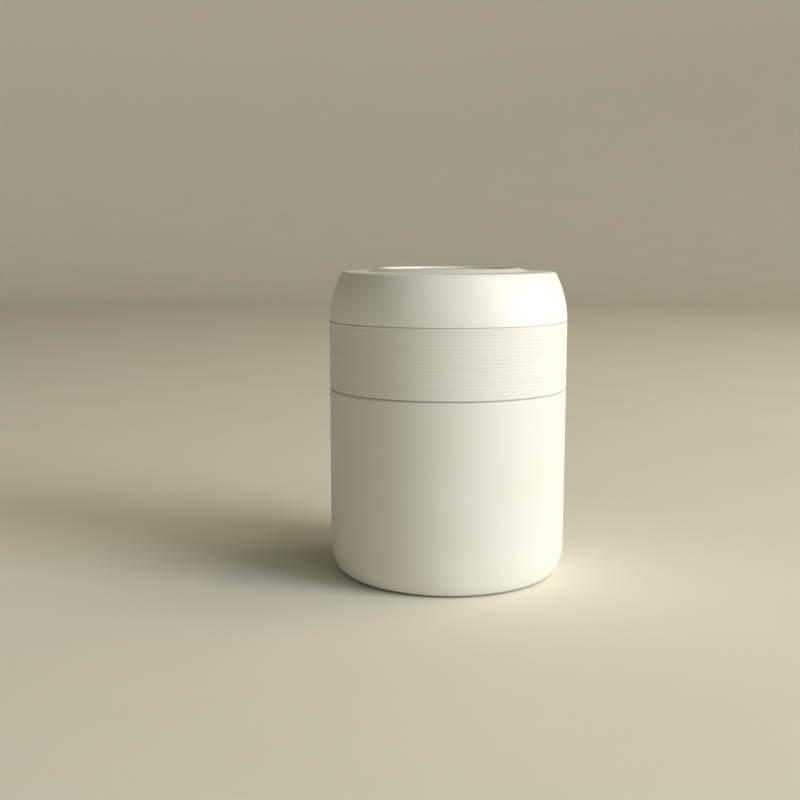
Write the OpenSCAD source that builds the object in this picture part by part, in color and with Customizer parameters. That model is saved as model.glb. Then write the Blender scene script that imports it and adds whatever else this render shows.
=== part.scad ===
// Insulated food jar: a double-walled steel jar with a vacuum between the
// walls, and a wide screw lid with a ribbed grip band, foam insulation, a
// lip gasket and a spring-loaded pressure-release button in its top.
// Millimetres, +Z up. The origin is the middle of the underside, on the
// surface the jar stands on; the jar and lid are turned about the Z axis.

/* [Body] */
// Outside diameter of the body and of the grip band
body_d = 104; // [98:1:112]
// Height of the body, from the table to the seam under the grip band
body_h = 82; // [78:1:110]
// Thickness of the painted outer shell
shell_t = 0.6; // [0.5:0.1:0.8]
// Thickness of the inner vessel
vessel_t = 0.5; // [0.4:0.1:0.6]
// Height over which the wall curves in at the bottom
corner_h = 13.5; // [9:0.5:15]
// How far the wall curves in at the bottom
corner_w = 5.6; // [4.5:0.1:6]
// Height of the floor of the food cavity
floor_z = 10; // [9.5:0.5:14]
// How far the base pad stands out below the shell
pad_proud = 0.85; // [0.6:0.05:1.2]

/* [Neck and thread] */
// Height of the neck above the body's shoulder
neck_h = 20.4; // [19.8:0.1:24]
// How far the neck's outside is set in from the body's outside
neck_in = 6.5; // [6.2:0.1:7]
// Number of separate starts of the thread
thread_starts = 3; // [2:1:4]
// Distance along the axis between neighbouring thread ridges
thread_pitch = 4; // [3.9:0.1:4.4]
// Turn, in degrees, that each thread ridge runs round the neck
ridge_turn = 135; // [75:15:150]

/* [Lid] */
// Open seam between the jar's shoulder and the grip band
seam = 0.5; // [0.4:0.1:0.7]
// Height of the ribbed grip band
band_h = 29; // [28.5:0.1:33]
// Number of ribs on the grip band
ribs = 20; // [14:1:28]
// Depth of the grooves between the ribs
rib_depth = 0.07; // [0.05:0.01:0.2]
// Height of the fine groove between the grip band and the cap
groove = 0.3; // [0.2:0.05:0.5]
// Height of the cap, from the groove to the flat of its top
cap_h = 21; // [19.5:0.1:24]
// How far the cap's side curves in by the time it meets the top
cap_in = 5.6; // [3:0.1:6.5]
// Thickness of the cap
cap_t = 2; // [1.8:0.1:2.2]
// Radius of the edge between the cap's side and its flat top
cap_edge = 2.4; // [1.2:0.1:2.6]
// How far the rim around the button stands above the cap's flat top
rim_up = 1.5; // [1:0.1:2.2]
// How far the rim reaches out from the button's hole
rim_w = 5.9; // [4.8:0.1:6.2]

/* [Button] */
// Diameter of the button
button_d = 57.2; // [50:0.2:60]
// Gap all round the button
button_gap = 0.3; // [0.25:0.05:0.5]
// How far the button lies below the rim around it
button_down = 0.9; // [0.5:0.1:1.2]
// How far the button presses in
press = 2; // [1:0.5:2.5]
// Turns of the button's spring
spring_turns = 5; // [4:1:6]
// Thickness of the spring wire
wire_d = 0.9; // [0.7:0.1:1]

/* [Hidden] */
// smoothness of every turned surface
FN = 144;
$fn = FN;

R = body_d / 2;               // outside radius of the body
zb = pad_proud;               // lowest point of the shell
zs = body_h;                  // top of the body's shoulder
z_seat = zs + seam - 0.2;     // raised part of the shoulder, under the lid
zr = zs + neck_h;             // top of the jar's rim
rn = R - neck_in;             // outside radius of the neck
rm = rn - 2.5;                // inside radius of the mouth
ri = R - 4.7;                 // inside radius of the food cavity
z_band0 = zs + seam;          // bottom of the grip band
z_band1 = z_band0 + band_h;   // top of the grip band
z_cap0 = z_band1 + groove;    // bottom edge of the cap
z_flat = z_cap0 + cap_h;      // flat of the cap's top
z_rim = z_flat + rim_up;      // top of the rim around the button
rb = button_d / 2;            // radius of the button
ro = rb + button_gap;         // radius of the hole for the button
zbt = z_rim - button_down;    // top of the button at its edge
z_lip = z_rim - 3.9;          // underside of the cap at the button's hole
lead = thread_starts * thread_pitch; // rise of the lid in one full turn
z_thread = zs + 6.3;          // where the neck's ridges begin
z_ceil = zr + 2.8;            // underside of the lid liner above the rim
z_plug = zr - 8.4;            // underside of the lid's plug
z_deck = z_cap0 + 5.25;       // top of the foam, under its cover
r_skirt = rn + 1.8;           // inside radius of the lid's skirt
r_plug = rm - 0.8;            // outside radius of the lid's plug
r_bore = 3.08;                // bore that guides the valve stem
r_stem = 3;                   // radius of the valve stem
z_tube = z_deck + 2.4;        // top of the valve's guide tube
z_under = zbt - 1.9;          // underside of the button's plate

// points along part of an ellipse, from angle a0 to angle a1
function arc(cx, cy, rx, ry, a0, a1, n) =
    [for (i = [0:n]) let (a = a0 + (a1 - a0) * i / n)
        [cx + rx * cos(a), cy + ry * sin(a)]];

// a solid turned about the Z axis from its half section
module turned(points) { rotate_extrude($fn = FN) polygon(points); }

// radius of the cap's outside at height z
function cap_r(z) =
    R - 0.1 - (cap_in - 0.1) * pow(max(0, z - z_cap0) / cap_h, 2);

// One thread ridge: a trapezium swept up a right-handed helix. It fades in
// and out of the wall over its first and last steps. root and crest are
// radii, w0 and w1 the ridge's width at each of them.
module ridge(root, crest, w0, w1, z0, turn) {
    n = round(turn / 7.5);
    fade = function (i) min(1, min(i, n - i) / 3 + 0.4);
    ring = function (i)
        let (a = turn * i / n, z = z0 + lead * a / 360, k = fade(i),
             rc = root + (crest - root) * k,
             h0 = w0 / 2, h1 = (w0 + (w1 - w0) * k) / 2)
        [for (p = [[root, -h0], [rc, -h1], [rc, h1], [root, h0]])
            [p[0] * cos(a), p[0] * sin(a), z + p[1]]];
    points = [for (i = [0:n]) each ring(i)];
    out = crest > root;
    quad = function (a, b, c, d) out ? [[a, c, b], [a, d, c]]
                                     : [[a, b, c], [a, c, d]];
    faces = concat(
        out ? [[0, 2, 1], [0, 3, 2]] : [[0, 1, 2], [0, 2, 3]],
        out ? [[4 * n, 4 * n + 1, 4 * n + 2], [4 * n, 4 * n + 2, 4 * n + 3]]
            : [[4 * n, 4 * n + 2, 4 * n + 1], [4 * n, 4 * n + 3, 4 * n + 2]],
        [for (i = [0:n - 1], j = [0:3])
            each let (k = (j + 1) % 4)
            quad(4 * i + j, 4 * (i + 1) + j, 4 * (i + 1) + k, 4 * i + k)]);
    polyhedron(points, faces, convexity = 6);
}

module thread(root, crest, w0, w1, z0) {
    for (s = [0:thread_starts - 1])
        rotate([0, 0, 3.5 + 360 * s / thread_starts])
            ridge(root, crest, w0, w1, z0, ridge_turn);
}

// ---- the jar ----

// Painted outer shell: curved bottom corner, straight wall, a shoulder with a
// low step behind the lid's edge, and the neck with its rolled thread
module outer_shell() {
    t = shell_t;
    color([0.93, 0.92, 0.88]) union() {
        turned(concat(
            [[R - corner_w - 0.8, zb]],
            arc(R - corner_w, zb + corner_h, corner_w, corner_h, -90, 0, 16),
            arc(R - 1, zs - 1, 1, 1, 0, 90, 6),
            [[R - 1.2, zs], [R - 1.4, z_seat]],
            arc(rn + 1.2, z_seat + 1.2, 1.2, 1.2, 270, 180, 6),
            [[rn, zr - 0.4], [rn - t, zr - 0.4]],
            arc(rn + 1.2, z_seat + 1.2, 1.2 + t, 1.2 + t, 180, 270, 6),
            [[R - 1.9, z_seat - t], [R - 1.6, zs - t]],
            arc(R - 1, zs - 1, 1 - t, 1 - t, 90, 0, 4),
            arc(R - corner_w, zb + corner_h, corner_w - t, corner_h - t,
                0, -90, 16),
            [[R - corner_w - 0.8, zb + t]]));
        thread(rn - 0.25, rn + 1.4, 2.3, 0.9, z_thread);
    }
}

// Base plate welded into the shell's curled-in bottom edge. It is stepped up
// to hold the base pad, and has the port the air was drawn out of.
module shell_bottom() {
    t = shell_t;
    r0 = R - corner_w - 0.8;
    color([0.72, 0.72, 0.71])
        turned([[r0, zb], [r0 - 0.4, zb], [r0 - 1, zb + 1.35],
                [10.5, zb + 1.35], [9.5, zb + 2.55], [1, zb + 2.55],
                [1, zb + 2.55 + t], [9.8, zb + 2.55 + t],
                [10.8, zb + 1.35 + t], [r0 - 0.75, zb + 1.35 + t],
                [r0 - 0.15, zb + t], [r0, zb + t]]);
}

// Food vessel: rounded floor, straight wall, a swept shoulder and the mouth,
// with the rolled lip that closes the vacuum at the top of the neck
module inner_vessel() {
    w = vessel_t;
    f = 12;
    z0 = zs - 12;
    sweep_r = function (i) ri - (ri - rm) * (1 - cos(15 * i)) / 2;
    color([0.74, 0.74, 0.73])
        turned(concat(
            [[0, floor_z]],
            arc(ri - f, floor_z + f, f, f, -90, 0, 12),
            [for (i = [0:12]) [sweep_r(i), z0 + 10 * i / 12]],
            arc(rm + 0.5, zr - 0.5, 0.5, 0.5, 180, 90, 4),
            arc(rn - 0.4, zr - 0.4, 0.4, 0.4, 90, 0, 4),
            [[rm + w, zr - 0.4]],
            [for (i = [12:-1:0]) [sweep_r(i) + w, z0 + 10 * i / 12]],
            arc(ri - f, floor_z + f, f + w, f + w, 0, -90, 12),
            [[0, floor_z - w]]));
}

// Copper foil wrapped round the vessel, which holds radiant heat in
module copper_wrap() {
    r = ri + vessel_t;
    z0 = floor_z + 14;
    color([0.78, 0.46, 0.3])
        turned([[r, z0], [r + 0.12, z0], [r + 0.12, zs - 16], [r, zs - 16]]);
}

// Small cup spot-welded under the vessel, which holds the getter
module getter_cup() {
    z1 = floor_z - vessel_t;
    color([0.6, 0.6, 0.6])
        turned([[0, z1 - 2.8], [8, z1 - 2.8], [8, z1], [7.6, z1],
                [7.6, z1 - 2.4], [0, z1 - 2.4]]);
}

// Pressed pellet that takes up the last of the gas in the vacuum
module getter() {
    z1 = floor_z - vessel_t;
    color([0.35, 0.35, 0.36])
        turned([[0, z1 - 2.4], [7, z1 - 2.4], [7, z1 - 0.6], [0, z1 - 0.6]]);
}

// Bead that seals the port in the base plate
module port_seal() {
    z = zb + 2.55;
    color([0.55, 0.55, 0.52])
        turned([[0, z - 0.45], [1.6, z - 0.45], [2.2, z], [1, z],
                [1, z + shell_t + 0.2], [0, z + shell_t + 0.2]]);
}

// Silicone pad the jar stands on, set into the base plate, with two grooves
module base_pad() {
    r = R - corner_w - 2.3;
    h = zb + 1.35;
    color([0.86, 0.85, 0.81])
        turned(concat(
            [[0, h], [0, 0],
             [19.5, 0], [19.5, 0.4], [20.5, 0.4], [20.5, 0],
             [33.5, 0], [33.5, 0.4], [34.5, 0.4], [34.5, 0]],
            arc(r - 0.5, 0.5, 0.5, 0.5, -90, 0, 4),
            [[r, h]]));
}

// ---- the lid ----

// Silicone gasket that seals on the jar's rim. It sits in the groove
// between the lid's plug and its skirt.
module lid_gasket() {
    color([0.9, 0.9, 0.88, 0.9])
        turned([[r_plug + 0.1, zr + 0.5], [r_plug + 0.7, zr + 0.06],
                [rn - 0.2, zr + 0.06], [rn + 0.7, zr + 0.9],
                [rn + 0.7, z_ceil - 0.1], [r_plug + 0.1, z_ceil - 0.1]]);
}

// Outer cap: curved side, flat top and the raised round rim that frames the
// button
module lid_cap() {
    zi = z_deck;
    n = 16;
    // the edge's circle touches the side curve and the flat
    z_c = z_flat - cap_edge;
    lean = atan(2 * (cap_in - 0.1) * (z_c - z_cap0) / (cap_h * cap_h));
    r_c = cap_r(z_c + cap_edge * sin(lean)) - cap_edge * cos(lean);
    z_e = z_flat - cap_t - 1.9;
    r_e = cap_r(z_e) - cap_t;
    r_col = min(cap_r(zi) - cap_t, R - 2.2);
    r_rim = ro + rim_w;
    color([0.95, 0.94, 0.91])
        turned(concat(
            [[cap_r(z_cap0) - 0.15, z_cap0]],
            [for (i = [0:n - 1])
                let (z = z_cap0 + 0.15
                         + (z_c + cap_edge * sin(lean) - z_cap0 - 0.15) * i / n)
                [cap_r(z), z]],
            arc(r_c, z_c, cap_edge, cap_edge, lean, 90, 7),
            // the rim's slope is steepest at its foot
            [[r_rim + 0.7, z_flat], [r_rim, z_flat + 0.06]],
            [for (i = [1:10])
                [r_rim - (rim_w - 1.3) * i / 10,
                 z_rim - rim_up * pow(1 - i / 10, 1.4)]],
            arc(ro + 0.6, z_rim - 0.6, 0.6, 0.6, 90, 180, 4),
            [[ro, z_lip], [ro + 3.2, z_lip], [r_rim, z_flat - cap_t]],
            arc(r_e - 2, z_e, 2, 1.9, 90, 0, 6),
            [for (i = [9:-1:1]) let (z = zi + (z_e - zi) * i / 10)
                [cap_r(z) - cap_t, z]],
            // the foot stands on the liner's ledge and on the band, so that
            // the seam above the band is a shallow groove
            [[r_col, zi], [r_col, z_band1 - 0.4], [R - 1.65, z_band1 - 0.4],
             [R - 1.65, z_band1], [R - 0.8, z_band1], [R - 0.8, z_cap0]]));
}

// Ribbed band round the lid that the hand turns it by. Its lower edge
// turns in under the skirt of the liner.
module grip_band() {
    ri0 = R - 1.65;
    p = band_h / ribs;
    color([0.89, 0.89, 0.84])
        turned(concat(
            [[R - 3.4, z_band0], [R - 0.25, z_band0], [R, z_band0 + 0.25]],
            [for (i = [1:ribs - 1]) each let (z = z_band0 + p * i)
                [[R, z - 0.22 * p], [R - rib_depth, z - 0.06 * p],
                 [R - rib_depth, z + 0.06 * p], [R, z + 0.22 * p]]],
            [[R, z_band1 - 0.15], [R - 0.15, z_band1], [ri0, z_band1],
             [ri0, z_band0 + 0.6], [R - 3.4, z_band0 + 0.6]]));
}

// Inner moulding of the lid: the threaded skirt, the ceiling over the jar's
// rim, the hollow plug that fills the mouth and the valve's guide tube
module lid_liner() {
    r_col = min(cap_r(z_deck) - cap_t, R - 2.2);
    color([0.8, 0.81, 0.8]) union() {
        turned([[r_bore, z_plug], [r_plug - 0.8, z_plug],
                [r_plug - 0.2, z_plug + 0.25], [r_plug, z_plug + 0.9],
                [r_plug, z_ceil], [r_skirt, z_ceil],
                [r_skirt, z_band0 + 1.8], [r_skirt + 0.8, z_band0 + 0.6],
                [R - 1.65, z_band0 + 0.6], [R - 1.65, z_band1 - 0.4],
                [r_col, z_band1 - 0.4], [r_col, z_deck],
                [r_skirt + 0.5, z_deck], [r_skirt + 0.5, z_ceil + 2],
                [r_plug - 1.6, z_ceil + 2], [r_plug - 1.6, z_plug + 1.8],
                [5, z_plug + 1.8], [5, z_tube], [r_bore, z_tube]]);
        thread(r_skirt + 0.25, r_skirt - 1.4, 2.3, 0.9, z_thread - 1.75);
    }
}

// Foam that fills the plug and the space over the ceiling
module lid_insulation() {
    color([0.9, 0.88, 0.8])
        turned([[5.05, z_plug + 1.85], [r_plug - 1.65, z_plug + 1.85],
                [r_plug - 1.65, z_ceil + 2.05],
                [r_skirt + 0.45, z_ceil + 2.05],
                [r_skirt + 0.45, z_deck - 0.05], [5.05, z_deck - 0.05]]);
}

// Cover over the foam, with the seat that centres the button's spring
module insulation_cover() {
    r = R - 3.1;
    color([0.78, 0.79, 0.78])
        turned([[5.1, z_deck], [r, z_deck], [r, z_deck + 1.6],
                [9.8, z_deck + 1.6], [9.8, z_deck + 3.6],
                [8.6, z_deck + 3.6], [8.6, z_deck + 1.6],
                [5.1, z_deck + 1.6]]);
}

// Compression spring with closed ends that holds the button up
module button_spring() {
    w = wire_d / 2;
    z0 = z_deck + 1.6 + w + 0.02;
    z1 = z_under - w - 0.02;
    n = 16 * (spring_turns + 2);
    // the first and last turn lie flat, and the rest climb evenly
    rise = function (i) let (u = i / 16)
        z0 + wire_d * 1.02 * (min(u, 1) + max(0, u - spring_turns - 1))
        + (z1 - z0 - wire_d * 2.04) * min(1, max(0, (u - 1) / spring_turns));
    points = [for (i = [0:n], j = [0:5])
        let (a = 22.5 * i, r = 6.9 + w * cos(60 * j))
        [r * cos(a), r * sin(a), rise(i) + w * sin(60 * j)]];
    faces = concat(
        [[for (j = [5:-1:0]) j]],
        [[for (j = [0:5]) 6 * n + j]],
        [for (i = [0:n - 1], j = [0:5])
            each let (k = (j + 1) % 6)
            [[6 * i + j, 6 * (i + 1) + k, 6 * (i + 1) + j],
             [6 * i + j, 6 * i + k, 6 * (i + 1) + k]]]);
    color([0.7, 0.7, 0.7]) polyhedron(points, faces, convexity = 12);
}

// ---- the pressure-release button ----

// Round button: a faintly dished plate, a skirt whose flange stops under the
// cap, a ring that centres the spring and a socket for the valve stem
module button() {
    zf = z_lip - 0.3;
    color([0.94, 0.93, 0.9])
        turned(concat(
            [[0, zbt - 0.3], [rb * 0.5, zbt - 0.22], [rb * 0.8, zbt - 0.08]],
            arc(rb - 0.5, zbt - 0.5, 0.5, 0.5, 90, 0, 4),
            [[rb, zf], [rb + 1.7, zf], [rb + 1.7, zf - 1.4],
             [rb - 2, zf - 1.4], [rb - 2, z_under],
             [8.9, z_under], [8.9, z_under - 1.8], [7.9, z_under - 1.8],
             [7.9, z_under], [5, z_under], [5, z_tube + press + 2],
             [r_stem, z_tube + press + 2], [r_stem, z_under - 1],
             [0, z_under - 1]]));
}

// Stem from the button down to the seal. Two flats let steam and air past
// once the seal is pushed off its seat.
module valve_stem() {
    zf = z_plug - 0.1;
    color([0.82, 0.82, 0.8]) difference() {
        turned([[0, zf - 3], [1.8, zf - 3], [2.2, zf - 2.6], [2.2, zf],
                [r_stem, zf], [r_stem, z_under - 1.4],
                [r_stem - 0.4, z_under - 1], [0, z_under - 1]]);
        for (s = [-1, 1])
            translate([-5, s > 0 ? 2.3 : -7.3, zf + 1])
                cube([10, 5, z_tube - zf - 2]);
    }
}

// Silicone disc that closes the valve against the underside of the plug
module valve_seal() {
    zf = z_plug - 0.1;
    color([0.9, 0.9, 0.88, 0.9])
        turned([[2.2, zf - 1.8], [7.6, zf - 1.8], [8.5, zf - 1.1],
                [8.5, zf], [2.2, zf]]);
}

// Snap-on cap that holds the seal on the stem
module seal_retainer() {
    z = z_plug - 1.9;
    color([0.8, 0.81, 0.8])
        turned([[2.2, z], [2.2, z - 1.3], [0, z - 1.3], [0, z - 2],
                [4.8, z - 2], [5.6, z - 1.2], [5.6, z]]);
}

outer_shell();
shell_bottom();
inner_vessel();
copper_wrap();
getter_cup();
getter();
port_seal();
base_pad();
lid_gasket();
lid_cap();
grip_band();
lid_liner();
lid_insulation();
insulation_cover();
button_spring();
button();
valve_stem();
valve_seal();
seal_retainer();
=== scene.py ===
"""Looks of the insulated food jar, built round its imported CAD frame.

Lengths in the profiles are millimetres; everything in Blender is metres.
Every turned piece is a closed half section, given as (radius, height) points
and turned about the Z axis. A third number on a point rounds that corner.
"""

import math

import bpy
import numpy as np
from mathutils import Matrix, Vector


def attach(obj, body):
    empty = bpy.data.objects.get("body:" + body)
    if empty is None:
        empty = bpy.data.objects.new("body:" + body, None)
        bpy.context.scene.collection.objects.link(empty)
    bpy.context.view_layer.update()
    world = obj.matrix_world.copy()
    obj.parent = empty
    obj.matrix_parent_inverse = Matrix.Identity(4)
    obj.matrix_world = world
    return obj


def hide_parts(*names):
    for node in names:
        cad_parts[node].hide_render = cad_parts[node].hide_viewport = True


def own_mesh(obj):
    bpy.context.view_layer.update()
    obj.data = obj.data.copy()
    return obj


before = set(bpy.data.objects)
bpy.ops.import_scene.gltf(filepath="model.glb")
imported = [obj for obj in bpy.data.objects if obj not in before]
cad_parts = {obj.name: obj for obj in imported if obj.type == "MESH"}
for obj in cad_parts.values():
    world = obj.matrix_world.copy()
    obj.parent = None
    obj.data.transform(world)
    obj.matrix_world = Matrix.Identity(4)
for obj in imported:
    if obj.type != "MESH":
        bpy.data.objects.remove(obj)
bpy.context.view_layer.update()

MM = 0.001
SEG = 256  # steps round a piece that shows
SEG_IN = 128  # steps round a piece inside

# the jar's driving sizes, as in the CAD source
R = 52.0
ZB = 0.85
ZS = 82.0
ZR = 102.4
RN = 45.5
RM = 43.0
RI = 47.3
SEAT = 82.3
BAND0, BAND1 = 82.5, 111.5
CAP0 = 111.8
FLAT = 132.8
RIM = 134.3
RB, RO = 28.6, 28.9
ZBT = 133.4
LIP = 130.4
LEAD = 12.0
CEIL = 105.2
PLUG = 94.0
DECK = 117.05
SKIRT = 47.3
RPLUG = 42.2
BORE, STEM = 3.08, 3.0
TUBE = 119.45
UNDER = 131.5


# ---------------------------------------------------------------- profiles


def arc(cx, cz, rx, rz, a0, a1, n):
    """Points along part of an ellipse, from angle a0 to a1 in degrees."""
    out = []
    for i in range(n + 1):
        a = math.radians(a0 + (a1 - a0) * i / n)
        out.append((cx + rx * math.cos(a), cz + rz * math.sin(a)))
    return out


def soften(points, steps=4, loop=0.12):
    """A closed outline with its marked corners rounded. A point beside each
    rounded corner keeps the flat next to it flat when it is shaded smooth."""
    n = len(points)
    out = []
    for i, p in enumerate(points):
        rad = p[2] if len(p) > 2 else 0.0
        here = np.array(p[:2], float)
        if rad <= 0:
            out.append(tuple(here))
            continue
        before = np.array(points[i - 1][:2], float)
        after = np.array(points[(i + 1) % n][:2], float)
        la, lb = np.linalg.norm(before - here), np.linalg.norm(after - here)
        u, v = (before - here) / la, (after - here) / lb
        cos = float(np.clip(u @ v, -1, 1))
        half = math.acos(cos) / 2
        if half > math.radians(88):
            out.append(tuple(here))
            continue
        t = min(rad / math.tan(half), 0.42 * la, 0.42 * lb)
        r = t * math.tan(half)
        mid = (u + v) / np.linalg.norm(u + v)
        centre = here + mid * (r / math.sin(half))
        start, end = here + u * t - centre, here + v * t - centre
        a0 = math.atan2(start[1], start[0])
        turn = math.atan2(
            start[0] * end[1] - start[1] * end[0], float(start @ end)
        )
        k = max(2, round(steps * abs(turn) / (math.pi / 2)))
        side_a = min(loop, 0.3 * (la - t))
        side_b = min(loop, 0.3 * (lb - t))
        out.append(tuple(here + u * (t + side_a)))
        for j in range(k + 1):
            a = a0 + turn * j / k
            out.append(
                (centre[0] + r * math.cos(a), centre[1] + r * math.sin(a))
            )
        out.append(tuple(here + v * (t + side_b)))
    return out


def dense(points, step):
    """The same outline with no side longer than step."""
    out = []
    n = len(points)
    for i, p in enumerate(points):
        q = points[(i + 1) % n]
        out.append(p)
        if p[0] < 1e-6 and q[0] < 1e-6:
            continue
        k = math.ceil(math.dist(p, q) / step - 1e-6)
        out += [
            (p[0] + (q[0] - p[0]) * j / k, p[1] + (q[1] - p[1]) * j / k)
            for j in range(1, k)
        ]
    return out


def lathe(name, profile, seg=SEG, shape=None, step=6.0, sharp=38.0):
    """A closed solid turned about Z. shape(theta, r, z) may vary a row's
    radius round the turn."""
    prof = dense([(float(p[0]), float(p[1])) for p in profile], step)
    clean = []
    for p in prof:
        if not clean or math.dist(p, clean[-1]) > 1e-4:
            clean.append(p)
    if math.dist(clean[0], clean[-1]) < 1e-4:
        clean.pop()
    prof = clean
    area = sum(
        prof[i][0] * prof[(i + 1) % len(prof)][1]
        - prof[(i + 1) % len(prof)][0] * prof[i][1]
        for i in range(len(prof))
    )
    if area < 0:
        prof = prof[::-1]
    theta = np.arange(seg) * (2 * math.pi / seg)
    cos, sin = np.cos(theta), np.sin(theta)
    verts, rows = [], []
    for r, z in prof:
        if r < 1e-6:
            rows.append([len(verts)])
            verts.append((0.0, 0.0, z * MM))
            continue
        rr = np.full(seg, r)
        if shape is not None:
            rr = shape(theta, r, z)
        rows.append(list(range(len(verts), len(verts) + seg)))
        verts += [
            (float(rr[k] * cos[k]) * MM, float(rr[k] * sin[k]) * MM, z * MM)
            for k in range(seg)
        ]
    faces = []
    for i in range(len(rows)):
        a, b = rows[i], rows[(i + 1) % len(rows)]
        if len(a) == 1 and len(b) == 1:
            continue
        for k in range(seg):
            m = (k + 1) % seg
            if len(a) == 1:
                faces.append((a[0], b[m], b[k]))
            elif len(b) == 1:
                faces.append((a[k], a[m], b[0]))
            else:
                faces.append((a[k], a[m], b[m], b[k]))
    return mesh_object(name, verts, faces, sharp)


def mesh_object(name, verts, faces, sharp=38.0):
    me = bpy.data.meshes.new(name)
    me.from_pydata(verts, [], faces)
    me.validate()
    me.update()
    me.polygons.foreach_set("use_smooth", [True] * len(me.polygons))
    me.set_sharp_from_angle(angle=math.radians(sharp))
    ob = bpy.data.objects.new(name, me)
    bpy.context.scene.collection.objects.link(ob)
    return ob


def place(ob, body, slot, material, *nodes):
    """Gives a piece its finish and its body, and hides the CAD nodes it stands for."""
    ob.data.materials.clear()
    ob.data.materials.append(material)
    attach(ob, body)
    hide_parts(*nodes)
    return ob


def smooth(a, b, x):
    t = np.clip((x - a) / (b - a), 0.0, 1.0)
    return t * t * (3 - 2 * t)


def ridges(theta, z, z0):
    """Height, from 0 to 1, of the three-start right-hand thread's ridges."""
    deg = np.degrees(theta)
    out = np.zeros_like(deg)
    for s in range(3):
        a = (deg - 3.5 - 120.0 * s) % 360.0
        live = smooth(0.0, 20.0, a) * smooth(0.0, 20.0, 135.0 - a)
        u = np.abs(z - (z0 + LEAD * a / 360.0))
        out = np.maximum(out, live * (1 - smooth(0.25, 1.12, u)))
    return out


# --------------------------------------------------------------- materials


def lin(r, g, b):
    """A colour given in sRGB, 0 to 255, as Blender's linear colour."""
    out = []
    for c in (r, g, b):
        c /= 255.0
        out.append(c / 12.92 if c <= 0.04045 else ((c + 0.055) / 1.055) ** 2.4)
    return (*out, 1.0)


class Finish:
    """A Principled material with its node tree at hand. Lengths are metres
    and patterns lie in the piece's own coordinates."""

    def __init__(self, name, **sockets):
        self.mat = bpy.data.materials.new(name)
        self.mat.use_nodes = True
        self.tree = self.mat.node_tree
        self.bsdf = self.tree.nodes["Principled BSDF"]
        for key, value in sockets.items():
            self.bsdf.inputs[key.replace("_", " ")].default_value = value
        self.coord = self.node("ShaderNodeTexCoord").outputs["Object"]
        self.normal = None

    def node(self, kind, **props):
        made = self.tree.nodes.new(kind)
        for key, value in props.items():
            setattr(made, key, value)
        return made

    def link(self, out, into):
        self.tree.links.new(out, into)

    def math(self, op, a, b=0.0, c=0.0):
        made = self.node("ShaderNodeMath", operation=op)
        for i, v in enumerate((a, b, c)):
            if isinstance(v, (int, float)):
                made.inputs[i].default_value = v
            else:
                self.link(v, made.inputs[i])
        return made.outputs[0]

    def noise(self, size, detail=2.0, rough=0.5, stretch=(1, 1, 1), vector=None):
        """Noise whose blobs are about size metres across."""
        m = self.node("ShaderNodeMapping")
        m.inputs["Scale"].default_value = stretch
        self.link(vector or self.coord, m.inputs["Vector"])
        n = self.node("ShaderNodeTexNoise")
        n.inputs["Scale"].default_value = 1.0 / size
        n.inputs["Detail"].default_value = detail
        n.inputs["Roughness"].default_value = rough
        self.link(m.outputs["Vector"], n.inputs["Vector"])
        return n.outputs["Fac"]

    def cells(self, size, feature="F1"):
        v = self.node("ShaderNodeTexVoronoi", feature=feature)
        v.inputs["Scale"].default_value = 1.0 / size
        self.link(self.coord, v.inputs["Vector"])
        return v.outputs["Distance"]

    def colour(self, fac, dark, pale, lo=0.3, hi=0.7):
        ramp = self.node("ShaderNodeValToRGB")
        ramp.color_ramp.elements[0].position = lo
        ramp.color_ramp.elements[0].color = dark
        ramp.color_ramp.elements[1].position = hi
        ramp.color_ramp.elements[1].color = pale
        self.link(fac, ramp.inputs["Fac"])
        self.link(ramp.outputs["Color"], self.bsdf.inputs["Base Color"])
        return ramp

    def ranged(self, fac, low, high, into="Roughness", lo=0.3, hi=0.7):
        m = self.node("ShaderNodeMapRange")
        m.inputs["From Min"].default_value = lo
        m.inputs["From Max"].default_value = hi
        m.inputs["To Min"].default_value = low
        m.inputs["To Max"].default_value = high
        self.link(fac, m.inputs["Value"])
        self.link(m.outputs["Result"], self.bsdf.inputs[into])

    def bump(self, height, depth, strength=1.0):
        """Adds relief of this depth in metres to what is there already."""
        b = self.node("ShaderNodeBump")
        b.inputs["Strength"].default_value = strength
        b.inputs["Distance"].default_value = depth
        self.link(height, b.inputs["Height"])
        if self.normal is not None:
            self.link(self.normal, b.inputs["Normal"])
        self.normal = b.outputs["Normal"]
        self.link(self.normal, self.bsdf.inputs["Normal"])

    def polar(self):
        """Distance from the axis, and height, as separate outputs."""
        s = self.node("ShaderNodeSeparateXYZ")
        self.link(self.coord, s.inputs[0])
        r = self.math(
            "SQRT",
            self.math(
                "ADD",
                self.math("MULTIPLY", s.outputs[0], s.outputs[0]),
                self.math("MULTIPLY", s.outputs[1], s.outputs[1]),
            ),
        )
        return s, r

    def turned_lines(self, size, wander=0.02):
        """Fine lines round the axis, as a lathe or a polishing belt leaves
        them, on walls and floors alike."""
        s, r = self.polar()
        along = self.math("ADD", r, s.outputs[2])
        c = self.node("ShaderNodeCombineXYZ")
        self.link(self.math("MULTIPLY", s.outputs[0], wander), c.inputs[0])
        self.link(self.math("MULTIPLY", s.outputs[1], wander), c.inputs[1])
        self.link(along, c.inputs[2])
        return self.noise(size, 3.0, 0.6, vector=c.outputs[0])


def coat_finish():
    """Matte powder coat: chalk white with a trace of warmth, a fine grain and
    a very slight orange peel."""
    f = Finish("powder_coat", Roughness=0.56, IOR=1.5, Specular_IOR_Level=0.42)
    f.colour(f.noise(0.028, 3), lin(233, 232, 226), lin(236, 235, 230), 0.35, 0.65)
    f.ranged(f.noise(0.0021, 3), 0.52, 0.60)
    f.bump(f.noise(0.0042, 2), 0.000012)
    f.bump(f.noise(0.00042, 3, 0.6), 0.0000035)
    return f.mat


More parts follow.
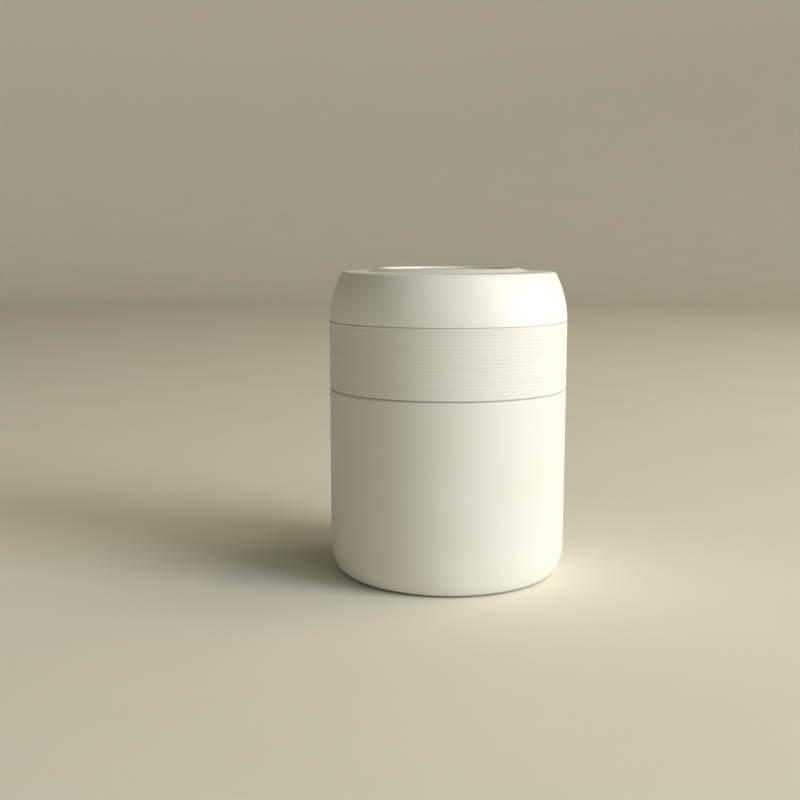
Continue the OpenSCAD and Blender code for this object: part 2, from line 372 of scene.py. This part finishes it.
def plastic_finish(name, dark, pale, rough, grain=0.00032, depth=0.000003, **more):
    """Moulded plastic with the fine spark-eroded grain of its mould."""
    f = Finish(name, Roughness=rough, IOR=1.49, **more)
    f.colour(f.noise(0.022, 3), dark, pale, 0.35, 0.65)
    f.ranged(f.noise(0.0016, 3), rough - 0.03, rough + 0.04)
    f.bump(f.noise(0.006, 1), 0.000010)
    f.bump(f.cells(grain), depth)
    f.bump(f.noise(grain * 0.7, 3, 0.65), depth)
    return f.mat


def band_finish():
    """Soft-touch grip: a tone darker and greener than the cap. It carries painted shade:
    faint colour streaks, long round the band, stand in for the broken lines of shade
    along the ribs. The same streaks also drive a faint bump."""
    f = Finish("soft_touch", Roughness=0.62, IOR=1.47, Specular_IOR_Level=0.36)
    s, r = f.polar()
    c = f.node("ShaderNodeCombineXYZ")
    f.link(f.math("MULTIPLY", s.outputs[0], 0.035), c.inputs[0])
    f.link(f.math("MULTIPLY", s.outputs[1], 0.035), c.inputs[1])
    f.link(s.outputs[2], c.inputs[2])
    # painted shade: these streaks darken the colour in thin lines round the band, in
    # place of the ribs' shade, and also give a faint bump
    streak_bump_and_shade = f.noise(0.0016, 2, 0.55, vector=c.outputs[0])
    f.colour(streak_bump_and_shade, lin(232, 231, 225), lin(235, 234, 229), 0.36, 0.64)
    f.ranged(f.noise(0.0018, 3), 0.58, 0.67)
    f.bump(streak_bump_and_shade, 0.00001)
    f.bump(f.noise(0.00026, 3, 0.6), 0.000003)
    return f.mat


def steel_finish(name, tone, rough, lines, depth, aniso):
    """Stainless steel with fine lines round its axis."""
    f = Finish(name, Metallic=1.0, Roughness=rough, Anisotropic=aniso)
    fac = f.turned_lines(lines)
    f.colour(
        fac,
        tuple(c * 0.95 for c in tone[:3]) + (1.0,),
        tone,
    )
    f.ranged(f.turned_lines(lines * 3.0), rough - 0.03, rough + 0.04)
    f.bump(fac, depth)
    f.bump(f.noise(0.014, 2), 0.00001)
    t = f.node("ShaderNodeTangent", direction_type="RADIAL", axis="Z")
    f.link(t.outputs[0], f.bsdf.inputs["Tangent"])
    return f.mat


def silicone_finish(name, dark, pale, rough=0.5, skin=0.0004):
    """Moulded silicone: slightly milky, with a fine dull skin."""
    f = Finish(
        name,
        Roughness=rough,
        IOR=1.41,
        Specular_IOR_Level=0.4,
        Subsurface_Weight=0.25,
        Subsurface_Scale=0.0015,
    )
    f.bsdf.inputs["Subsurface Radius"].default_value = (1.0, 0.95, 0.85)
    f.colour(f.noise(0.012, 2), dark, pale)
    f.ranged(f.noise(0.0011, 3), rough - 0.05, rough + 0.06)
    f.bump(f.noise(skin, 3, 0.6), 0.000006)
    return f.mat


def foam_finish():
    """Cut polyurethane foam with open cells, with painted shade darkening the pits of
    the cells.
    """
    f = Finish("rigid_foam", Roughness=0.9, IOR=1.3, Specular_IOR_Level=0.15)
    cell_pits_and_shade = f.cells(0.0007)
    # painted shade: the colour is darker in each cell's pit, where the same mask sinks
    # the surface
    f.colour(cell_pits_and_shade, lin(214, 202, 168), lin(230, 221, 192), 0.05, 0.7)
    f.ranged(f.noise(0.002, 2), 0.84, 0.95)
    f.bump(cell_pits_and_shade, 0.00008)
    f.bump(f.noise(0.006, 3), 0.00012)
    return f.mat


def copper_finish():
    """Thin copper foil, wrapped by hand, so faintly creased."""
    f = Finish("copper_foil", Metallic=1.0, Roughness=0.24)
    f.colour(f.noise(0.012, 3), lin(189, 112, 78), lin(221, 150, 112))
    f.ranged(f.noise(0.004, 3), 0.18, 0.34)
    f.bump(f.noise(0.006, 4, 0.6, (1, 1, 0.35)), 0.00018)
    return f.mat


def getter_finish():
    """Pressed powder pellet: dark, dull and granular."""
    f = Finish("pressed_getter", Roughness=0.88, IOR=1.5, Specular_IOR_Level=0.2)
    f.colour(f.cells(0.00035), lin(58, 58, 61), lin(104, 104, 107), 0.05, 0.6)
    f.ranged(f.noise(0.0006, 2), 0.8, 0.94)
    f.bump(f.cells(0.0003), 0.00005)
    return f.mat


def bead_finish():
    """Fused sealing bead in the evacuation port."""
    f = Finish("fused_bead", Roughness=0.3, IOR=1.62)
    f.colour(f.noise(0.0014, 3), lin(96, 96, 88), lin(158, 156, 143))
    f.ranged(f.noise(0.0009, 3), 0.22, 0.42)
    f.bump(f.noise(0.0012, 2), 0.00006)
    return f.mat


def wire_finish():
    """Drawn spring wire."""
    f = Finish("spring_wire", Metallic=1.0, Roughness=0.3)
    s, r = f.polar()
    c = f.node("ShaderNodeCombineXYZ")
    f.link(f.math("MULTIPLY", s.outputs[0], 0.06), c.inputs[0])
    f.link(f.math("MULTIPLY", s.outputs[1], 0.06), c.inputs[1])
    f.link(f.math("ADD", r, s.outputs[2]), c.inputs[2])
    drawn = f.noise(0.00012, 2, 0.5, vector=c.outputs[0])
    f.colour(drawn, lin(150, 150, 150), lin(190, 190, 189))
    f.ranged(f.noise(0.0011, 2), 0.24, 0.38)
    f.bump(drawn, 0.000012)
    return f.mat


M_COAT = coat_finish()
M_CAP = plastic_finish(
    "cap_plastic_satin", lin(243, 242, 237), lin(246, 245, 241), 0.47,
    Specular_IOR_Level=0.45,
)
M_BUTTON = plastic_finish(
    "button_plastic_satin", lin(239, 238, 232), lin(242, 241, 236), 0.44,
    Specular_IOR_Level=0.45,
)
M_BAND = band_finish()
M_LINER = plastic_finish(
    "liner_plastic_grey", lin(203, 204, 199), lin(209, 210, 205), 0.4,
    grain=0.0006, depth=0.000003,
)
M_NECK = steel_finish("turned_steel", lin(206, 204, 199), 0.33, 0.00016, 0.000003, 0.45)
M_VESSEL = steel_finish(
    "polished_steel", lin(208, 206, 202), 0.36, 0.00018, 0.000002, 0.4
)
M_PLATE = steel_finish("plate_steel", lin(190, 188, 184), 0.38, 0.0003, 0.000004, 0.4)
M_GASKET = silicone_finish("seal_silicone", lin(216, 215, 207), lin(224, 223, 216), 0.42)
M_PAD = silicone_finish(
    "pad_silicone_warm", lin(203, 199, 184), lin(212, 208, 194), 0.6, 0.0006
)
M_FOAM = foam_finish()
M_COPPER = copper_finish()
M_GETTER = getter_finish()
M_BEAD = bead_finish()
M_WIRE = wire_finish()


# ------------------------------------------------------------------ the jar

# Painted wall: from the curled-in bottom edge up to the shoulder, where the
# coat stops short of the neck
shell = lathe(
    "body_shell",
    [(45.6, ZB)]
    + arc(R - 5.6, ZB + 13.5, 5.6, 13.5, -90, 0, 44)
    + arc(R - 1, ZS - 1, 1, 1, 0, 90, 12)
    + [(R - 1.15, ZS), (R - 1.24, ZS + 0.05), (R - 1.36, SEAT - 0.05)]
    + [(R - 1.45, SEAT), (47.1, SEAT)]
    + arc(47.0, SEAT - 0.06, 0.06, 0.06, 90, 180, 3)
    + [(46.94, SEAT - 0.6), (R - 1.9, SEAT - 0.6), (R - 1.6, ZS - 0.6)]
    + arc(R - 1, ZS - 1, 0.4, 0.4, 90, 0, 6)
    + arc(R - 5.6, ZB + 13.5, 5.0, 12.9, 0, -90, 30)
    + [(45.6, ZB + 0.6)],
    step=5.0,
)
place(shell, "jar", "shell_coating", M_COAT, "outer_shell")


# Bare steel neck with its rolled thread
def neck_shape(theta, r, z):
    out = np.full_like(theta, r)
    if abs(r - RN) < 0.02 and 86.0 < z < 96.0:
        out += 1.4 * ridges(theta, z, 88.3)
    return out


neck_rows = [(RN, z) for z in np.arange(86.2, 95.6, 0.1)]
neck = lathe(
    "steel_neck",
    [(46.93, SEAT - 0.6), (46.93, SEAT - 0.09), (46.75, SEAT - 0.08)]
    + arc(RN + 1.2, SEAT + 1.2, 1.2, 1.28, 270, 180, 10)
    + [(RN, 84.6)]
    + neck_rows
    + [(RN, 98.0), (RN, 101.75)]
    + arc(RN - 0.12, 101.88, 0.12, 0.12, 0, 90, 3)
    + [(RN - 0.6, 102.0), (RN - 0.6, SEAT + 1.2)]
    + arc(RN + 1.2, SEAT + 1.2, 1.8, 1.8, 180, 270, 8),
    seg=384,
    shape=neck_shape,
    step=3.0,
)
place(neck, "jar", "bare_steel", M_NECK, "outer_shell")

# Base plate, stepped up for the pad, with the port in its middle
plate = lathe(
    "base_plate",
    soften(
        [
            (45.6, 0.85), (45.2, 0.85, 0.15), (44.6, 2.2, 0.3),
            (10.5, 2.2, 0.5), (9.5, 3.4, 0.5), (1.0, 3.4, 0.15),
            (1.0, 4.0, 0.15), (9.8, 4.0, 0.6), (10.8, 2.8, 0.6),
            (44.85, 2.8, 0.4), (45.45, 1.45, 0.2), (45.6, 1.45),
        ]
    ),
    seg=SEG,
)
place(plate, "jar", "bare_steel", M_PLATE, "shell_bottom")

# Food vessel, with the lip that is rolled over the top of the neck
sweep = [
    (RI - (RI - RM) * (1 - math.cos(math.pi * i / 24)) / 2, 70 + 10 * i / 24)
    for i in range(25)
]
vessel = lathe(
    "food_vessel",
    [(0, 10.0)]
    + arc(RI - 12, 22, 12, 12, -90, 0, 28)
    + sweep
    + arc(RM + 0.5, ZR - 0.5, 0.5, 0.5, 180, 90, 6)
    + arc(RN - 0.4, ZR - 0.4, 0.4, 0.4, 90, 12, 6)
    + [(RN - 0.1, ZR - 0.4), (RM + 0.5, ZR - 0.4)]
    + [(p[0] + 0.5, p[1]) for p in sweep[::-1]]
    + arc(RI - 12, 22, 12.5, 12.5, 0, -90, 24)
    + [(0, 9.5)],
    step=4.0,
)
place(vessel, "jar", "bare_steel", M_VESSEL, "inner_vessel")

foil = lathe(
    "vacuum_foil",
    [(47.8, 24.0), (47.92, 24.0), (47.92, 66.0), (47.8, 66.0)],
    seg=SEG_IN,
)
place(foil, "jar", "copper_foil", M_COPPER, "copper_wrap")

cup = lathe(
    "getter_holder",
    soften(
        [
            (0, 6.7), (8, 6.7, 0.5), (8, 9.5), (7.6, 9.5), (7.6, 7.1, 0.3),
            (0, 7.1),
        ]
    ),
    seg=SEG_IN,
)
place(cup, "jar", "bare_steel", M_PLATE, "getter_cup")

pellet = lathe(
    "getter_pellet",
    soften([(0, 7.1), (7, 7.1, 0.15), (7, 8.9, 0.3), (0, 8.9)]),
    seg=SEG_IN,
)
place(pellet, "jar", "getter_pellet", M_GETTER, "getter")

bead = lathe(
    "port_bead",
    [(0, 2.95)]
    + arc(0, 3.4, 2.2, 0.45, -90, 0, 8)
    + [(1.0, 3.4), (1.0, 4.0)]
    + arc(0, 4.0, 1.0, 0.2, 0, 90, 5),
    seg=64,
)
place(bead, "jar", "port_bead", M_BEAD, "port_seal")

pad = lathe(
    "base_pad_silicone",
    soften(
        [
            (0, 2.2), (0, 0), (19.5, 0, 0.15), (19.5, 0.4, 0.12),
            (20.5, 0.4, 0.12), (20.5, 0, 0.15), (33.5, 0, 0.15),
            (33.5, 0.4, 0.12), (34.5, 0.4, 0.12), (34.5, 0, 0.15),
            (44.1, 0, 0.5), (44.1, 2.2, 0.1),
        ],
        5,
    ),
    seg=SEG,
)
place(pad, "jar", "pad_silicone", M_PAD, "base_pad")


# ------------------------------------------------------------------ the lid

gasket = lathe(
    "rim_gasket",
    soften(
        [
            (42.3, 102.9, 0.3), (42.9, 102.46, 0.2), (45.3, 102.46, 0.4),
            (46.2, 103.3, 0.4), (46.2, 105.1, 0.3), (42.3, 105.1, 0.3),
        ],
        5,
    ),
)
place(gasket, "gasket", "gasket_silicone", M_GASKET, "lid_gasket")


def cap_r(z):
    return R - 0.1 - 5.5 * (max(0.0, z - CAP0) / (FLAT - CAP0)) ** 2


# the top edge is a part circle that touches the side curve and the flat
EDGE = 2.4
z_c = FLAT - EDGE
lean = math.atan(2 * 5.5 * (z_c - CAP0) / (FLAT - CAP0) ** 2)
z_side = z_c + EDGE * math.sin(lean)
r_c = cap_r(z_side) - EDGE * math.cos(lean)
r_rim = RO + 5.9
z_e = FLAT - 3.9
r_e = cap_r(z_e) - 2
r_col = cap_r(DECK) - 2


def rim_slope(t):
    """The rim's outside: steepest at its foot and level at its crest."""
    return (r_rim - 4.6 * t, RIM - (RIM - FLAT) * (1 - t) ** 1.4)


cap = lathe(
    "cap",
    arc(R - 0.25, CAP0 + 0.15, 0.15, 0.15, -90, 0, 5)
    + [(cap_r(z), z) for z in np.linspace(CAP0 + 0.4, z_side - 0.12, 44)]
    + arc(r_c, z_c, EDGE, EDGE, math.degrees(lean), 90, 16)
    + [(r_c - 0.15, FLAT), (r_rim + 0.8, FLAT)]
    + arc(r_rim + 0.35, FLAT + 1.6, 1.6, 1.6, 270, 246, 6)
    + [rim_slope(t) for t in np.linspace(0.09, 1.0, 18)]
    + arc(RO + 0.6, RIM - 0.6, 0.6, 0.6, 90, 180, 8)
    + [(RO, RIM - 0.8), (RO, LIP + 0.1), (RO + 0.1, LIP), (RO + 3.2, LIP)]
    + [(r_rim, FLAT - 2)]
    + arc(r_e - 2, z_e, 2, 1.9, 90, 0, 10)
    + [(cap_r(z) - 2, z) for z in np.linspace(z_e - 0.5, DECK, 16)]
    + [(r_col, BAND1 - 0.4), (R - 1.65, BAND1 - 0.4), (R - 1.65, BAND1)]
    + [(R - 0.8, BAND1), (R - 0.8, CAP0 - 0.06), (R - 0.74, CAP0)],
)
place(cap, "lid", "cap_plastic", M_CAP, "lid_cap")

# Grip band: 20 moulded ribs with broad crests and a narrow groove between
# them. The depth of each groove wanders a little round the band.
RIBS, DEPTH = 20, 0.07
PITCH = (BAND1 - BAND0) / RIBS
rng = np.random.default_rng(7)
rib_waves = [
    [
        (k, rng.uniform(0, 2 * math.pi), rng.uniform(0.4, 1.0) / k**0.35)
        for k in (2, 3, 5, 8, 13, 19)
    ]
    for _ in range(RIBS + 1)
]


def groove_depth(theta, n):
    wave = sum(a * np.sin(k * theta + p) for k, p, a in rib_waves[n])
    return DEPTH * np.clip(0.88 + 0.08 * wave, 0.7, 1.0)


def band_shape(theta, r, z):
    out = np.full_like(theta, r)
    u = (z - BAND0) / PITCH
    n = round(u)
    if abs(r - R) < 1e-3 and 0 < n < RIBS:
        out -= groove_depth(theta, n) * math.exp(-(((u - n) / 0.14) ** 2))
    return out


GROOVE_ROWS = (
    -0.36, -0.24, -0.16, -0.11, -0.07, -0.035, 0,
    0.035, 0.07, 0.11, 0.16, 0.24, 0.36,
)
band = lathe(
    "grip_band_ribbed",
    arc(R - 0.25, BAND0 + 0.25, 0.25, 0.25, -90, 0, 6)
    + [(R, BAND0 + PITCH * (n + u)) for n in range(1, RIBS) for u in GROOVE_ROWS]
    + arc(R - 0.15, BAND1 - 0.15, 0.15, 0.15, 0, 90, 5)
    + [(R - 0.25, BAND1), (R - 1.65, BAND1), (R - 1.65, BAND0 + 0.6)]
    + [(R - 3.4, BAND0 + 0.6), (R - 3.4, BAND0)],
    shape=band_shape,
    sharp=60,
)
place(band, "lid", "band_plastic", M_BAND, "grip_band")


# Liner: threaded skirt, ceiling, plug and the valve's guide tube
def liner_shape(theta, r, z):
    out = np.full_like(theta, r)
    if abs(r - SKIRT) < 0.02 and 84.3 < z < 95.0:
        out -= 1.4 * ridges(theta, z, 86.55)
    return out


liner = lathe(
    "lid_liner_threaded",
    soften([(BORE, TUBE, 0.2), (BORE, PLUG, 0.25), (RPLUG - 0.2, PLUG, 1.1),
            (RPLUG, CEIL)], 6)[:-1]
    + [(RPLUG, CEIL - 0.5)]
    + arc(RPLUG + 0.5, CEIL - 0.5, 0.5, 0.5, 180, 90, 4)
    + arc(SKIRT - 0.5, CEIL - 0.5, 0.5, 0.5, 90, 0, 4)
    + [(SKIRT, z) for z in np.arange(95.0, 84.35, -0.15)]
    + [(SKIRT, 84.2), (SKIRT + 0.8, BAND0 + 0.6)]
    + [(R - 1.65, BAND0 + 0.6), (R - 1.65, BAND1 - 0.4), (r_col, BAND1 - 0.4)]
    + [(r_col, DECK), (SKIRT + 0.5, DECK), (SKIRT + 0.5, CEIL + 2)]
    + [(RPLUG - 1.6, CEIL + 2), (RPLUG - 1.6, PLUG + 1.8), (5, PLUG + 1.8)]
    + [(5, TUBE)],
    seg=288,
    shape=liner_shape,
    step=3.0,
)
place(liner, "lid", "liner_plastic", M_LINER, "lid_liner")

foam = lathe(
    "lid_foam",
    [
        (5.05, 95.85), (40.55, 95.85), (40.55, 107.25), (47.75, 107.25),
        (47.75, 117.0), (5.05, 117.0),
    ],
    seg=SEG_IN,
)
place(foam, "lid", "lid_foam", M_FOAM, "lid_insulation")

cover = lathe(
    "foam_cover",
    soften(
        [
            (5.1, DECK, 0.15), (48.9, DECK, 0.2), (48.9, DECK + 1.6, 0.3),
            (9.8, DECK + 1.6, 0.4), (9.8, DECK + 3.6, 0.2),
            (8.6, DECK + 3.6, 0.2), (8.6, DECK + 1.6, 0.1),
            (5.1, DECK + 1.6, 0.15),
        ]
    ),
    seg=SEG_IN,
)
place(cover, "lid", "liner_plastic", M_LINER, "insulation_cover")


def coil(name, radius, wire, z0, z1, active, sides=14, steps=40):
    """Compression spring with a closed turn at each end."""
    turns = active + 2
    lo, hi = z0 + wire / 2, z1 - wire / 2
    n = int(turns * steps)
    verts, faces = [], []
    flat = wire * 1.02
    for i in range(n + 1):
        u = i / steps
        z = lo + flat * (min(u, 1) + max(0.0, u - active - 1))
        z += (hi - lo - 2 * flat) * float(smooth(0, 1, np.array(
            min(1.0, max(0.0, (u - 0.7) / (active + 0.6)))))) * 0.15
        z += (hi - lo - 2 * flat) * min(1.0, max(0.0, (u - 1) / active)) * 0.85
        a = 2 * math.pi * u
        # the wire thins where its ends are ground flat
        k = min(1.0, 0.35 + 0.65 * min(i, n - i) / (0.6 * steps))
        for j in range(sides):
            b = 2 * math.pi * j / sides
            dz = wire / 2 * math.sin(b)
            z_here = min(max(z + dz * k, z0), z1)
            rad = radius + wire / 2 * math.cos(b)
            verts.append(
                (rad * math.cos(a) * MM, rad * math.sin(a) * MM, z_here * MM)
            )
    for i in range(n):
        for j in range(sides):
            m = (j + 1) % sides
            faces.append(
                (sides * i + j, sides * (i + 1) + j, sides * (i + 1) + m, sides * i + m)
            )
    faces.append(tuple(range(sides)))
    faces.append(tuple(sides * n + j for j in range(sides - 1, -1, -1)))
    return mesh_object(name, verts, faces, 50)


spring = coil("valve_spring", 6.9, 0.9, DECK + 1.62, UNDER - 0.02, 5)
place(spring, "lid", "spring_steel", M_WIRE, "button_spring")
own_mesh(spring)


# --------------------------------------------------------------- the button

button = lathe(
    "release_button",
    [(r, ZBT - 0.3 + 0.3 * (r / (RB - 0.5)) ** 2) for r in np.linspace(0, 27.9, 20)]
    + arc(RB - 0.5, ZBT - 0.5, 0.5, 0.5, 88, 0, 6)
    + [(RB, LIP - 0.3), (RB + 1.7, LIP - 0.3), (RB + 1.7, LIP - 1.7)]
    + [(RB - 2, LIP - 1.7), (RB - 2, UNDER), (8.9, UNDER), (8.9, UNDER - 1.8)]
    + [(7.9, UNDER - 1.8), (7.9, UNDER), (5, UNDER), (5, TUBE + 4)]
    + [(STEM, TUBE + 4), (STEM, UNDER - 1), (0, UNDER - 1)],
)
place(button, "button", "cap_plastic", M_BUTTON, "button")


# Valve stem, flattened on two sides so that steam gets past it
def stem_shape(theta, r, z):
    out = np.full_like(theta, r)
    if abs(r - STEM) < 1e-3 and PLUG + 0.9 <= z <= TUBE - 1.1:
        out = np.minimum(out, 2.3 / np.maximum(np.abs(np.sin(theta)), 1e-6))
    return out


stem = lathe(
    "release_stem",
    [(0, 90.9), (1.8, 90.9), (2.2, 91.3), (2.2, 93.9), (STEM, 93.9)]
    + [(STEM, PLUG + 0.85), (STEM, PLUG + 0.9)]
    + [(STEM, TUBE - 1.1), (STEM, TUBE - 1.05)]
    + [(STEM, UNDER - 1.4), (STEM - 0.4, UNDER - 1), (0, UNDER - 1)],
    seg=SEG_IN,
    shape=stem_shape,
)
place(stem, "button", "liner_plastic", M_LINER, "valve_stem")

seal = lathe(
    "valve_seal_disc",
    soften([(2.2, 92.1), (7.6, 92.1, 0.5), (8.5, 92.8, 0.5), (8.5, 93.9, 0.2),
            (2.2, 93.9)], 5),
    seg=SEG_IN,
)
place(seal, "button", "gasket_silicone", M_GASKET, "valve_seal")

keeper = lathe(
    "seal_keeper",
    soften(
        [
            (2.2, 92.1), (2.2, 90.8), (0, 90.8), (0, 90.1), (4.8, 90.1, 0.4),
            (5.6, 90.9, 0.4), (5.6, 92.1, 0.1),
        ],
        5,
    ),
    seg=SEG_IN,
)
place(keeper, "button", "liner_plastic", M_LINER, "seal_retainer")


# --------------------------------------------------------- stage and camera


def stage_finish():
    """Pale matte paper that greys a little where it turns up into the wall."""
    f = Finish("studio_paper", Roughness=0.8, Specular_IOR_Level=0.25)
    s = f.node("ShaderNodeSeparateXYZ")
    f.link(f.coord, s.inputs[0])
    high = f.node("ShaderNodeMapRange", interpolation_type="SMOOTHSTEP")
    high.inputs["From Min"].default_value = 0.02
    high.inputs["From Max"].default_value = 0.9
    f.link(s.outputs[2], high.inputs["Value"])
    ramp = f.colour(f.noise(0.09, 4, 0.55), lin(248, 244, 232), lin(251, 247, 236))
    mix = f.node("ShaderNodeMix", data_type="RGBA")
    f.link(high.outputs["Result"], mix.inputs["Factor"])
    f.link(ramp.outputs["Color"], mix.inputs[6])
    mix.inputs[7].default_value = lin(244, 240, 228)
    f.link(mix.outputs[2], f.bsdf.inputs["Base Color"])
    f.bump(f.noise(0.0012, 3), 0.00002)
    return f.mat


def sweep_floor():
    """A round floor that curves up into a wall all the way round, so that
    every view has the same plain ground behind it."""
    flat, bend, top = 2.2, 1.1, 1.5
    prof = [(0.0, 0.0), (0.25, 0.0), (0.6, 0.0), (1.3, 0.0), (flat, 0.0)]
    prof += [
        (flat + bend * math.sin(a), bend * (1 - math.cos(a)))
        for a in np.linspace(0.05, math.pi / 2, 28)
    ]
    prof += [(flat + bend, 1.3), (flat + bend, top)]
    seg = 128
    verts, faces, rows = [], [], []
    for r, z in prof:
        if r == 0:
            rows.append([0])
            verts.append((0, 0, 0))
            continue
        rows.append(list(range(len(verts), len(verts) + seg)))
        for k in range(seg):
            a = 2 * math.pi * k / seg
            verts.append((r * math.cos(a), r * math.sin(a), z))
    for i in range(len(rows) - 1):
        a, b = rows[i], rows[i + 1]
        for k in range(seg):
            m = (k + 1) % seg
            if len(a) == 1:
                faces.append((a[0], b[k], b[m]))
            else:
                faces.append((a[k], b[k], b[m], a[m]))
    ob = mesh_object("studio_floor", verts, faces, 80)
    ob.data.materials.append(stage_finish())
    return ob


sweep_floor()

scene = bpy.context.scene
scene.view_settings.view_transform = "Standard"
scene.view_settings.look = "None"

cam_data = bpy.data.cameras.new("camera")
cam_data.lens = 49.481
cam_data.sensor_width = 36.0
cam_data.clip_start = 0.01
cam_data.clip_end = 20.0
cam = bpy.data.objects.new("camera", cam_data)
cam.location = (0.0, -0.48452, 0.14516)
cam.rotation_euler = (math.pi / 2 - 0.142207, 0.0, 0.0435509)
scene.collection.objects.link(cam)
scene.camera = cam


def softbox(name, place_at, aim, size, power, colour):
    data = bpy.data.lights.new(name, "AREA")
    data.shape = "RECTANGLE"
    data.size, data.size_y = size
    data.energy = power
    data.color = colour
    ob = bpy.data.objects.new(name, data)
    ob.location = place_at
    back = Vector(place_at) - Vector(aim)
    ob.rotation_euler = back.to_track_quat("Z", "Y").to_euler()
    ob.visible_camera = False
    scene.collection.objects.link(ob)
    return ob


# Low soft light from the right, a higher one over it, and weaker light from the
# open room round them. The low one is turned up, away from the floor near it.
AIM = (0, 0, 0.07)
softbox(
    "window", (1.876, -0.835, 0.858), (0, 0, 1.41), (1.1, 1.36), 35.8, (0.93, 0.93, 1)
)
softbox(
    "room", (1.559, -1.308, 1.342), (0, 0, 0.9), (2.2, 2.2), 17.0, (0.94, 0.99, 0.86)
)
softbox("high", (1.5, 0.1, 2.15), AIM, (1.7, 1.7), 18.5, (1, 0.9, 0.6))
softbox("back_right", (1.506, 1.264, 1.447), AIM, (2.0, 2.0), 2.3, (0.96, 0.98, 0.85))
softbox("back", (-0.346, 1.961, 1.741), AIM, (2.2, 2.2), 1.5, (1, 0.95, 0.77))

world = bpy.data.worlds.new("studio")
world.use_nodes = True
world.node_tree.nodes["Background"].inputs["Color"].default_value = (
    1.0, 0.93, 0.66, 1.0,
)
world.node_tree.nodes["Background"].inputs["Strength"].default_value = 0.025
scene.world = world
